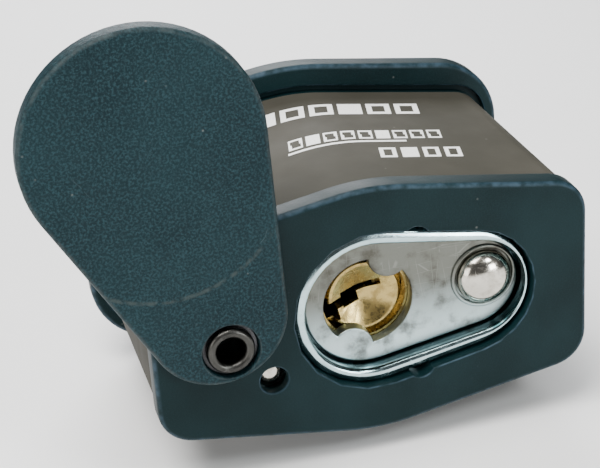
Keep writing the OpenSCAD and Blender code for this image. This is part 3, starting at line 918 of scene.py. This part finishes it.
@dataclass
class Cover(SubAssembly):
    """The plastic cover: bottom cap, label sleeve, top bumper and print."""

    outline: Hexagon = COVER_OUTLINE
    bumper: Hexagon = Hexagon(35.5, 24.0, 18.5, 11.0, 36.0)
    rim_h: float = 3.7
    floor_t: float = 3.0
    steel_inset: float = STEEL_INSET - 0.1
    sleeve_step: float = 0.6
    sleeve_wall: float = 2.1
    pivot_bore: Round = Round(PIVOT_X, 0.0, 2.75)
    pivot_flare: Round = Round(PIVOT_X, 0.0, 3.6)
    flare_d: float = 1.1
    rivet_pocket_r: float = 2.6
    rivet_pocket_d: float = 1.4
    drain: Round = Round(-15.7, -7.85, 2.1)
    opening: NotchedEgg = NotchedEgg(Egg(0.0, 0.0, 12.5, 14.8, 9.9, 0.0, 0.4), 6.7, 10.2, 2.1)
    relief_gap: float = 1.1
    relief_d: float = 1.4
    leg_hole_r: float = 5.05
    seal_pocket_r: float = 6.95
    seal_pocket_d: float = 1.9
    print_rows: tuple[PrintRow, ...] = (
        PrintRow(-8.4, 33.4, 4.7, 3.9, 4.6, 0.9, 6, (0, 3)),
        PrintRow(-5.6, 21.9, 2.75, 2.2, 3.4, 0.5, 9, (1, 5)),
        PrintRow(6.3, 14.3, 3.4, 2.6, 3.9, 0.65, 4, (1,)),
        PrintRow(-6.4, 19.1, 0.0, 18.5, 0.6, 0.0, 1, (0,)))
    print_lean: float = 0.22
    print_t: float = 0.03

    def build(self) -> None:
        """Makes every piece of the cover."""
        low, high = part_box("top_bumper")
        self.bumper_y, self.bumper_top = low.y / MM, high.y / MM
        self.body_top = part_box("top_plate")[1].y / MM
        self._cap()
        self._sleeve()
        self._bumper()
        self._print()

    def _cap(self) -> None:
        """The bottom cap, with its opening, the drain hole and the rivet pockets."""
        m = Mould("bottom_cap_moulding")
        front, rim = m.wall(self.outline, rounded(0.0, self.rim_h, 0.75, 0.35))
        inset = self.steel_inset
        edge, floor = m.wall(
            self.outline, [(-inset, self.rim_h, 0.0), (-inset, self.floor_t, 0.0)])
        m.fill(rim, edge)
        mouth, back = m.wall(self.opening, rounded(0.0, self.floor_t, 0.25, 0.1, hole=True))
        holes_front, holes_back = [mouth], [back]
        seat = self.floor_t - self.flare_d
        bore, bore_end = m.wall(self.pivot_bore, rounded(0.0, seat, 0.2, 0.05, hole=True))
        flare, flare_end = m.wall(
            self.pivot_flare, [(0.0, seat, 0.0), (0.0, self.floor_t, 0.0)])
        m.fill(bore_end, flare)
        holes_front.append(bore)
        holes_back.append(flare_end)
        pocket_y = self.floor_t - self.rivet_pocket_d
        for x, z in RIVET_PLACES:
            pocket, pocket_end = m.wall(
                Round(x, z, self.rivet_pocket_r),
                [(0.0, pocket_y, 0.0), (0.0, self.floor_t, 0.0)])
            holes_back.append(pocket_end)
            if (x, z) == (self.drain.x, self.drain.z):
                hole, hole_end = m.wall(self.drain, rounded(0.0, pocket_y, 0.3, 0.05, hole=True))
                holes_front.append(hole)
                m.fill(pocket, hole_end)
            else:
                m.fill(pocket)
        m.fill(front, *holes_front)
        m.fill(floor, *holes_back)
        self.place(m.done(), "cover_plastic", "bottom_cap")

    def _sleeve(self) -> None:
        """The label sleeve, with a painted shadow line in its joint with the cap."""
        m = Mould("label_sleeve_moulding", 14)
        step, inner = self.sleeve_step, self.sleeve_step + self.sleeve_wall
        rings = [(o - step, y, w) for o, y, w in rounded(self.rim_h, self.bumper_y, 0.3, 0.15, steps=3)]
        # The first rings, at the joint with the cap, get the painted-shade value: a dark line painted
        # where shadow falls.
        rings[:3] = [(offset, y, PAINTED_SHADE) for offset, y, _ in rings[:3]]
        start, end = m.wall(self.outline, rings)
        inside, inside_end = m.wall(
            self.outline, [(-inner, self.rim_h, 0.0), (-inner, self.bumper_y, 0.0)])
        m.fill(start, inside)
        m.fill(end, inside_end)
        self.place(m.done(), "sleeve_plastic", "label_sleeve")

    def _bumper(self) -> None:
        """The top bumper, with a relief groove round the sleeve and the two leg holes."""
        m = Mould("top_bumper_moulding", 14)
        ledge, top = m.wall(self.bumper, rounded(self.bumper_y, self.bumper_top, 0.8, 1.6, steps=6))
        step, inset = self.sleeve_step, self.steel_inset
        relief_y = self.bumper_y + self.relief_d
        groove = [(o - step + self.relief_gap, y, w)
                  for o, y, w in rounded(self.bumper_y, relief_y, 0.25, 0.05, hole=True)]
        mouth, groove_end = m.wall(self.outline, groove)
        m.fill(ledge, mouth)
        inner_start, inner_end = m.wall(
            self.outline, [(-step, relief_y, 0.0), (-step, self.bumper_y, 0.0)])
        m.fill(groove_end, inner_start)
        recess, roof = m.wall(
            self.outline, [(-inset, self.bumper_y, 0.0), (-inset, self.body_top, 0.0)])
        m.fill(inner_end, recess)
        holes_top, holes_roof = [], []
        seal_y = self.bumper_top - self.seal_pocket_d
        for x in (-LEG_X, LEG_X):
            hole, shelf = m.wall(
                Round(x, 0.0, self.leg_hole_r), [(0.0, self.body_top, 0.0), (0.0, seal_y, 0.0)])
            pocket, mouth_top = m.wall(
                Round(x, 0.0, self.seal_pocket_r),
                rounded(seal_y, self.bumper_top, 0.02, 0.3, hole=True, steps=3))
            m.fill(shelf, pocket)
            holes_roof.append(hole)
            holes_top.append(mouth_top)
        m.fill(roof, *holes_roof)
        m.fill(top, *holes_top)
        self.place(m.done(), "cover_plastic", "top_bumper")

    def _print(self) -> None:
        """White generic print on the label: rows of leaning rings and blocks, and a line."""
        bm = bmesh.new()
        for row in self.print_rows:
            for i in range(row.count):
                band = 0.0 if i in row.solid else row.band
                self._mark(bm, row.x + row.pitch * i, row.y, row.w, row.h, band)
        for v in bm.verts:
            v.co.z = self._facet_height(abs(v.co.x) / MM) * MM
        bmesh.ops.solidify(bm, geom=bm.faces[:], thickness=-self.print_t * MM)
        self.place(closed(bm, "label_print"), "print", "print_marks")

    def _mark(
        self, bm: bmesh.types.BMesh, x: float, y: float, w: float, h: float, band: float
    ) -> None:
        """Draws one leaning mark: a ring of a band's width, or a block if band is 0.

        Args:
            bm: the print's mesh.
            x: the mark's left side.
            y: its middle along the lock.
            w: its width.
            h: its height.
            band: width of the ring's band.
        """
        inner = 0.26
        made = bmesh.ops.create_grid(bm, x_segments=8, y_segments=4, size=0.5)["verts"]
        for v in made:
            across, up = v.co.x * w, v.co.y * h
            if band and abs(v.co.x) < inner:
                across *= 2 * (w - 2 * band) / w
            if band and abs(v.co.y) < inner:
                up *= 2 * (h - 2 * band) / h
            v.co = ((x + across + w / 2 + up * self.print_lean) * MM, (y + up) * MM, 0.0)
        if band:
            hollow = [f for f in {f for v in made for f in v.link_faces}
                      if abs(f.calc_center_median().y / MM - y) < h / 2 - band
                      and abs(f.calc_center_median().x / MM - x - w / 2) < w / 2 - band]
            bmesh.ops.delete(bm, geom=hollow, context="FACES")

    def _facet_height(self, u: float) -> float:
        """Height of the label face at a distance from its rounded centre ridge."""
        slope = math.atan((self.outline.mid - self.outline.end) / self.outline.half_w)
        lift = self.outline.mid * math.cos(slope) - self.sleeve_step
        r = self.outline.ridge_r - self.sleeve_step
        ridge = self.outline.mid - self.outline.ridge_r / math.cos(slope)
        if u < r * math.sin(slope):
            return ridge + math.sqrt(r * r - u * u)
        return (lift - u * math.sin(slope)) / math.cos(slope)


@dataclass
class KeyCover(SubAssembly):
    """The key cover that swings on the pivot rivet."""

    body: str = "key_cover"
    turn: float = 105.6
    lobe_r: float = 10.0
    lobe_shift: float = 5.2
    disc_r: float = 16.77
    reach: float = 33.3
    pocket: Round = Round(PIVOT_X, 0.0, 4.15)
    pocket_d: float = 1.65
    bore: Round = Round(PIVOT_X, 0.0, 2.72)

    def build(self) -> None:
        """Makes the key cover."""
        low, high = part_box("key_cover")
        front, back = low.y / MM, high.y / MM
        shape = Egg(
            PIVOT_X, 0.0, self.lobe_r, self.reach, self.disc_r, self.turn, self.lobe_shift)
        m = Mould("key_cover_moulding", 40)
        face, rear = m.wall(shape, rounded(front, back, 0.7, 0.4, steps=6))
        floor_y = front + self.pocket_d
        mouth, floor = m.wall(self.pocket, rounded(front, floor_y, 0.3, 0.1, hole=True))
        bore, bore_end = m.wall(self.bore, [(0.0, floor_y, 0.0), (0.0, back, 0.0)])
        m.fill(face, mouth)
        m.fill(floor, bore)
        m.fill(rear, bore_end)
        self.place(m.done(), "flap_plastic", "key_cover")


@dataclass
class PivotRivet(SubAssembly):
    """The tubular rivet with its rolled rim."""

    bore_r: float = 2.1
    barrel_r: float = 2.65
    rim_r: float = 3.5
    rim_t: float = 1.3
    foot_t: float = 1.0
    edge: float = 0.15
    roll_steps: int = 12

    def build(self) -> None:
        """Makes the rivet."""
        low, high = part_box("pivot_rivet")
        front, back = low.y / MM, high.y / MM
        mid = (self.bore_r + self.rim_r) / 2
        roll = (self.rim_r - self.bore_r) / 2
        section = [(self.bore_r, back)]
        for i in range(self.roll_steps + 1):
            a = math.pi * (1 - i / self.roll_steps)
            section.append((mid + roll * math.cos(a), front + roll - roll * math.sin(a)))
        under, foot, edge = front + self.rim_t, back - self.foot_t, self.edge
        section += [(self.rim_r, under - edge), (self.rim_r - edge, under), (self.barrel_r, under),
                    (self.barrel_r, foot), (self.rim_r - edge, foot), (self.rim_r, foot + edge),
                    (self.rim_r, back - edge), (self.rim_r - edge, back), (self.bore_r, back)]
        m = Mould("pivot_rivet_tube")
        m.turned(PIVOT_X, 0.0, section)
        self.place(m.done(50.0), "dark_steel", "pivot_rivet")


@dataclass
class BottomPlate(SubAssembly):
    """The steel plate under the cap, with its rounded lip round the door."""

    outline: Hexagon = COVER_OUTLINE
    inset: float = STEEL_INSET
    ledge_w: float = 1.6
    lip_out: Egg = Egg(0.0, 0.0, 12.35, 14.8, 9.7, 0.0, 0.4)
    lip_in: Egg = Egg(0.0, 0.0, 10.0, 16.2, 7.4)
    lip_h: float = 2.0
    ledge_y: float = 5.4
    # Each lip ring: share of the way from the outer to the inner edge, depth as a share of lip_h and
    # edge value; the negative values on the inner wall mark painted shade in the recess by the door.
    lip_rings: tuple[tuple[float, float, float], ...] = (
        (0.0, 0.2, 0.1), (0.0, 0.42, 0.2), (0.02, 0.56, 0.2), (0.06, 0.68, 0.2), (0.12, 0.77, 0.3),
        (0.2, 0.84, 0.4), (0.32, 0.9, 0.5), (0.46, 0.95, 0.8), (0.62, 1.0, 1.0), (0.78, 0.95, 1.0),
        (0.87, 0.88, 0.2), (0.94, 0.77, -0.9), (0.98, 0.6, 0.1), (1.0, 0.4, PAINTED_SHADE))

    def lip(self, share: float) -> Egg:
        """The lip's outline between its outer and its inner edge."""
        a, b = self.lip_out, self.lip_in
        big_r, reach, small_r, shift = (p + (q - p) * share for p, q in (
            (a.big_r, b.big_r), (a.reach, b.reach), (a.small_r, b.small_r),
            (a.big_shift, b.big_shift)))
        return Egg(0.0, 0.0, big_r, reach, small_r, 0.0, shift)

    def build(self) -> None:
        """Makes the plate."""
        low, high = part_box("bottom_plate")
        back = high.y / MM
        front = low.y / MM + self.lip_h
        m = Mould("bottom_plate_pressing", 24)
        rings = [(o - self.inset, y, w) for o, y, w in rounded(front, back, 0.3, 0.1, steps=3)]
        face, rear = m.wall(self.outline, rings)
        loops = [m.loop(self.lip(share)(0.0), front - self.lip_h * height, wear)
                 for share, height, wear in ((0.0, 0.0, 0.0), *self.lip_rings)]
        # The wall down to the ledge gets the painted-shade value, for painted shade in the recess.
        loops.append(m.loop(self.lip_in(0.0), self.ledge_y, PAINTED_SHADE))
        for outer, inner in zip(loops, loops[1:]):
            m.bridge(outer, inner)
        hole, hole_end = m.wall(
            self.lip_in, [(-self.ledge_w, self.ledge_y, 0.0), (-self.ledge_w, back, 0.0)])
        m.fill(face, loops[0])
        m.fill(loops[-1], hole)
        m.fill(rear, hole_end)
        self.place(m.done(60.0), "plate_steel", "bottom_plate")


@dataclass
class Door(SubAssembly):
    """The cylinder's door and its domed screw."""

    outline: Egg = Egg(0.0, 0.0, 9.7, 16.2, 7.1)
    hole: TabbedHole = TabbedHole(6.8, 3.2, 7.6, (62.0, 249.0))
    screw_x: float = 17.9
    screw_z: float = 0.8
    head_r: float = 4.2
    head_gap: float = 0.3
    shank_r: float = 2.6
    ring_w: float = 0.5
    ring_h: float = 0.4
    groove_d: float = 0.5
    depth: float = 3.4

    def build(self) -> None:
        """Makes the door and the screw."""
        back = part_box("cylinder_door")[1].y / MM
        m = Mould("cylinder_door_plate", 24)
        face, rear = m.wall(self.outline, rounded(self.depth, back, 0.3, 0.1, steps=4))
        mouth, mouth_end = m.wall(self.hole, rounded(self.depth, back, 0.22, 0.08, hole=True, steps=4))
        groove_r = self.head_r + self.head_gap
        top, groove_y = self.depth - self.ring_h, self.depth + self.groove_d
        ring, ring_top = m.wall(
            Round(self.screw_x, self.screw_z, groove_r + self.ring_w),
            [(0.1, self.depth, 0.0), (0.05, top + 0.16, 0.5), (-0.05, top + 0.04, 1.0),
             (-0.17, top, 1.0)])
        groove, groove_end = m.wall(
            Round(self.screw_x, self.screw_z, groove_r),
            [(0.17, top, 1.0), (0.05, top + 0.06, 1.0), (0.0, top + 0.2, 0.4),
             (0.0, groove_y, 0.0)])
        shank, shank_end = m.wall(
            Round(self.screw_x, self.screw_z, self.shank_r),
            [(0.0, groove_y, 0.0), (0.0, back, 0.0)])
        m.fill(face, mouth, ring)
        m.fill(ring_top, groove)
        m.fill(groove_end, shank)
        m.fill(rear, mouth_end, shank_end)
        self.place(m.done(50.0), "worn_plate", "cylinder_door")
        self._screw()

    def _screw(self) -> None:
        """The door screw with its polished dome."""
        low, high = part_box("door_screw")
        crown, end = low.y / MM, high.y / MM
        base = self.depth + self.groove_d - 0.05
        skirt = base - 0.7
        shank_r, edge, tip = self.shank_r - 0.1, 0.12, 0.4
        section = [(0.0, crown)]
        for a in quarter(18)[1:]:
            section.append((self.head_r * math.sin(a) ** 0.93,
                            skirt - (skirt - crown) * math.cos(a)))
        section += [(self.head_r, base - edge), (self.head_r - edge, base), (shank_r, base),
                    (shank_r, end - tip), (shank_r - tip, end), (0.0, end)]
        m = Mould("door_screw_dome")
        m.turned(self.screw_x, self.screw_z, section, 96)
        self.place(m.done(50.0), "polished_steel", "door_screw")


@dataclass
class Plug(SubAssembly):
    """The brass plug with its dished face and keyway."""

    body: str = "plug"
    radius: float = 6.35
    dish_r: float = 4.9
    face_r: float = 5.5
    step_d: float = 1.9
    dish_d: float = 1.6
    tongue: float = 2.2
    tilt: float = 12.0

    def build(self) -> None:
        """Makes the plug and cuts its keyway."""
        low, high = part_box("cylinder_plug")
        face, end = low.y / MM, high.y / MM - self.tongue
        m = Mould("cylinder_plug_turning")
        m.turned(0.0, 0.0, [
            (0.0, face + self.dish_d), (1.2, face + self.dish_d - 0.12),
            (self.dish_r - 0.1, face + 0.1), (self.dish_r + 0.05, face), (self.face_r - 0.15, face),
            (self.face_r, face + 0.15), (self.face_r, face + self.step_d),
            (self.radius, face + self.step_d), (self.radius, end - 0.2), (self.radius - 0.2, end),
            (0.0, end)], 96)
        plug = m.done(30.0)
        cut(plug, [self._keyway(face - 1.0, end - 1.2)], 0.09)
        self.place(plug, "brass", "cylinder_plug")

    def _keyway(self, start: float, end: float) -> bpy.types.Object:
        """A cutter of the keyway's outline, with its wards."""
        edge = -self.radius - 1.0
        corners = [(edge, -2.41), (-4.2, -2.41), (-4.2, -0.71), (-3.2, -0.71), (-3.2, -1.13),
                   (-0.6, -1.13), (-0.6, 0.4), (3.1, 0.4), (3.1, 1.5), (-3.2, 1.5), (-3.2, 0.82),
                   (edge, 0.82)]
        bm = bmesh.new()
        face = bm.faces.new([bm.verts.new(Vector((x, start, z)) * MM) for x, z in corners])
        grown = bmesh.ops.extrude_face_region(bm, geom=[face])
        moved = [v for v in grown["geom"] if isinstance(v, bmesh.types.BMVert)]
        bmesh.ops.translate(bm, verts=moved, vec=(0, (end - start) * MM, 0))
        bmesh.ops.rotate(bm, verts=bm.verts, cent=(0, 0, 0),
                         matrix=Matrix.Rotation(math.radians(-self.tilt), 3, "Y"))
        return closed(bm, "keyway")


@dataclass
class Shackle(SubAssembly):
    """The shackle: a bent rod with the balls' tracks cut in its legs."""

    body: str = "shackle"
    toe_tip: float = 1.2
    heel_tip: float = 0.4
    toe_y: float = 27.95
    heel_y: float = 7.0
    ball_x: float = 12.45
    ball_y: float = 34.95
    ball_r: float = 4.82
    lift: float = 19.0
    toe_retract: float = 3.1
    heel_retract: float = 1.6
    spring_bore_r: float = 2.5
    spring_bore_d: float = 11.5

    def build(self) -> None:
        """Makes the shackle."""
        bow_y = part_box("shackle")[1].y / MM - LEG_X - ROD_R
        bm = bmesh.new()
        ring = bmesh.ops.create_circle(bm, cap_ends=False, segments=64, radius=ROD_R * MM)["verts"]
        bmesh.ops.rotate(bm, verts=ring, cent=(0, 0, 0), matrix=Matrix.Rotation(math.pi / 2, 3, "X"))
        bmesh.ops.translate(bm, verts=ring, vec=(LEG_X * MM, bow_y * MM, 0))
        start = list(bm.edges)
        bow = bmesh.ops.spin(
            bm, geom=ring + start, cent=(0, bow_y * MM, 0), axis=(0, 0, 1), dvec=(0, 0, 0),
            angle=math.pi, steps=72, use_duplicate=False)
        heel = [e for e in bow["geom_last"] if isinstance(e, bmesh.types.BMEdge)]
        self._leg(bm, start, self.toe_y - bow_y, LEG_X, self.toe_tip)
        self._leg(bm, heel, self.heel_y - bow_y, -LEG_X, self.heel_tip)
        rod = closed(bm, "shackle_rod")
        cut(rod, [self._track(1, self.toe_retract), self._track(-1, self.heel_retract),
                  self._spring_bore()], 0.12)
        self.place(rod, "shackle_steel", "shackle")

    @staticmethod
    def _leg(bm: bmesh.types.BMesh, ring: Loop, along: float, x: float, tip: float) -> None:
        """Draws a leg from a ring and closes its bevelled tip.

        Args:
            bm: the rod's mesh.
            ring: the edges that the leg starts at.
            along: the leg's length along Y.
            x: the leg's axis.
            tip: the bevel's height and width.
        """
        edges = ring
        for distance, scale in ((along + tip, 1.0), (-tip, 1 - tip / ROD_R)):
            grown = bmesh.ops.extrude_edge_only(bm, edges=edges)["geom"]
            verts = [g for g in grown if isinstance(g, bmesh.types.BMVert)]
            edges = [g for g in grown if isinstance(g, bmesh.types.BMEdge)
                     and all(v in verts for v in g.verts)]
            bmesh.ops.translate(bm, verts=verts, vec=(0, distance * MM, 0))
            if scale != 1.0:
                about = Matrix.Translation((-x * MM, 0, 0))
                bmesh.ops.scale(bm, verts=verts, vec=(scale, 1, scale), space=about)
        bmesh.ops.triangle_fill(bm, use_beauty=True, use_dissolve=False, edges=edges)

    def _track(self, side: int, retract: float) -> bpy.types.Object:
        """A cutter for the track that a ball runs in: a capsule along the ball's path."""
        r, length = self.ball_r, math.hypot(retract, self.lift)
        section = [(r * math.sin(a), r * math.cos(a)) for a in quarter(16)]
        section += [(r * math.cos(a), -length - r * math.sin(a)) for a in quarter(16)]
        m = Mould("track")
        m.turned(0.0, 0.0, section, 64)
        turn = Matrix.Rotation(-side * math.atan(retract / self.lift), 3, "Z")
        bmesh.ops.rotate(m.bm, verts=m.bm.verts, cent=(0, 0, 0), matrix=turn)
        bmesh.ops.translate(
            m.bm, verts=m.bm.verts, vec=(side * self.ball_x * MM, self.ball_y * MM, 0))
        return m.done()

    def _spring_bore(self) -> bpy.types.Object:
        """A cutter for the spring's bore in the heel leg."""
        r, mouth, end = self.spring_bore_r, self.heel_y - 1.0, self.heel_y + self.spring_bore_d
        m = Mould("spring_bore")
        m.turned(-LEG_X, 0.0, [(0.0, mouth), (r, mouth), (r, end), (0.0, end + 0.5)], 48)
        return m.done()


@dataclass
class Seals(SubAssembly):
    """The rubber rings round the shackle legs."""

    gap: float = 0.07
    width: float = 2.2

    def build(self) -> None:
        """Makes both rings."""
        for side, node in ((1, "toe_seal"), (-1, "heel_seal")):
            low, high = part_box(node)
            y0, y1 = low.y / MM, high.y / MM
            inner, outer = ROD_R + self.gap, ROD_R + self.width
            section = [(inner, y0), (outer, y0), (outer, y1 - 0.5), (outer - 0.12, y1 - 0.2),
                       (outer - 0.45, y1), (inner + 0.9, y1), (inner + 0.55, y1 - 0.3),
                       (inner + 0.3, y1 - 0.15), (inner + 0.12, y1 - 0.05), (inner, y1 - 0.15),
                       (inner, y0)]
            m = Mould(node + "_ring")
            m.turned(side * LEG_X, 0.0, section)
            self.place(m.done(50.0), "seal_rubber", node)


@dataclass
class RivetHeads(SubAssembly):
    """The body rivets with their domed heads."""

    radius: float = 2.2
    head_r: float = 2.4
    head_h: float = 1.3
    edge: float = 0.2
    plate_y: float = 3.1

    def build(self) -> None:
        """Makes the four rivets as one piece."""
        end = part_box("body_rivets")[1].y / MM
        m = Mould("body_rivet_set")
        section = [(0.0, self.plate_y - self.head_h)]
        section += [(self.head_r * math.sin(a), self.plate_y - self.head_h * math.cos(a))
                    for a in quarter(10)[1:]]
        section += [(self.radius, self.plate_y), (self.radius, end - self.edge),
                    (self.radius - self.edge, end), (0.0, end)]
        for x, z in RIVET_PLACES:
            m.turned(x, z, section, 40)
        self.place(m.done(50.0), "polished_steel", "body_rivets")


@dataclass
class Works(SubAssembly):
    """The CAD pieces that keep their own meshes and get a finish."""

    frame: dict = field(default_factory=dict)

    def build(self) -> None:
        """Gives each remaining CAD node the finish that the record names for it."""
        slots = {s["node"]: s["material_slot"] for s in self.frame["record"]["subparts"]}
        for name, node in sorted(self.frame["nodes"].items()):
            if node.hide_render:
                continue
            node.data.materials.clear()
            node.data.materials.append(self.finishes[slots[name]])
            LOG.info("%s: CAD mesh, %s", name, slots[name])


# ---------- studio ----------


@dataclass(frozen=True)
class Softbox:
    """A square softbox that faces the lock; size in millimetres, power in watts."""

    name: str
    at: tuple[float, float, float]
    size: float
    power: float
    colour: Rgb

    def build(self) -> None:
        """Hangs the softbox."""
        data = bpy.data.lights.new(self.name, "AREA")
        data.energy, data.size, data.color = self.power, self.size * MM, self.colour
        lamp = bpy.data.objects.new(self.name, data)
        lamp.location = Vector(self.at) * MM
        lamp.rotation_euler = (-lamp.location).to_track_quat("-Z", "Y").to_euler()
        bpy.context.scene.collection.objects.link(lamp)


@dataclass
class Studio:
    """Pale floor, soft lights and the camera."""

    camera_at: tuple[float, float, float] = (-62.779, -207.370, 116.941)
    azimuth: float = 14.190
    elevation: float = 25.571
    roll: float = -4.234
    lens: float = 102.277
    sensor: float = 36.0
    room: float = 0.09
    lights: tuple[Softbox, ...] = (
        Softbox("key_light", (-140, -90, 420), 280, 4.4, (1.0, 0.99, 0.97)),
        Softbox("rim_light", (40, 360, 240), 260, 2.2, (0.97, 0.98, 1.0)),
        Softbox("window_light", (165, -265, 265), 85, 0.55, (0.96, 1.0, 1.0)),
        Softbox("left_light", (-330, -200, 90), 200, 0.55, (1.0, 0.985, 0.96)),
        Softbox("front_light", (235, -360, 82), 130, 0.9, (0.96, 0.985, 1.0)))

    def build(self) -> None:
        """Sets up the whole studio."""
        self._camera()
        self._floor()
        self._world()
        for light in self.lights:
            light.build()

    def _camera(self) -> None:
        """The camera, turned about its own axis as far as roll says."""
        az, el, roll = (math.radians(a) for a in (self.azimuth, self.elevation, self.roll))
        ahead = Vector((math.sin(az) * math.cos(el), math.cos(az) * math.cos(el), -math.sin(el)))
        level = ahead.cross(Vector((0, 0, 1))).normalized()
        upright = level.cross(ahead)
        right = math.cos(roll) * level + math.sin(roll) * upright
        up = math.cos(roll) * upright - math.sin(roll) * level
        data = bpy.data.cameras.new("camera")
        data.sensor_width, data.lens = self.sensor, self.lens
        data.clip_start = 0.01
        camera = bpy.data.objects.new("camera", data)
        place = Matrix((right, up, -ahead)).transposed().to_4x4()
        place.translation = Vector(self.camera_at) * MM
        camera.matrix_world = place
        bpy.context.scene.collection.objects.link(camera)
        bpy.context.scene.camera = camera

    def _floor(self) -> None:
        """A pale floor at the lowest point of the lock."""
        bm = bmesh.new()
        bmesh.ops.create_grid(bm, x_segments=1, y_segments=1, size=2.0)
        bmesh.ops.translate(bm, verts=bm.verts, vec=(0, 0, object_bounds()[0].z))
        floor = as_object(bm, "floor")
        g = Graph("floor")
        floor.data.materials.append(g.finish(
            {"Base Color": g.mix(g.noise(120.0), (0.86, 0.86, 0.86), (0.9, 0.9, 0.9))},
            {"Roughness": 0.7}))
        floor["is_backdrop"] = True

    def _world(self) -> None:
        """A soft white room."""
        world = bpy.data.worlds.new("room")
        world.use_nodes = True
        background = world.node_tree.nodes["Background"]
        background.inputs["Color"].default_value = (1.0, 1.0, 1.0, 1.0)
        background.inputs["Strength"].default_value = self.room
        bpy.context.scene.world = world


def main() -> None:
    """Builds the padlock's looks and its studio."""
    logging.basicConfig(level=logging.INFO, format="%(name)s: %(message)s")
    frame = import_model()
    finishes = Finishes().build()
    for part in (Cover(finishes), KeyCover(finishes), PivotRivet(finishes), BottomPlate(finishes),
                 Door(finishes), Plug(finishes), Shackle(finishes), Seals(finishes),
                 RivetHeads(finishes), Works(finishes, frame=frame)):
        part.build()
    Studio().build()


if __name__ == "__main__":
    main()
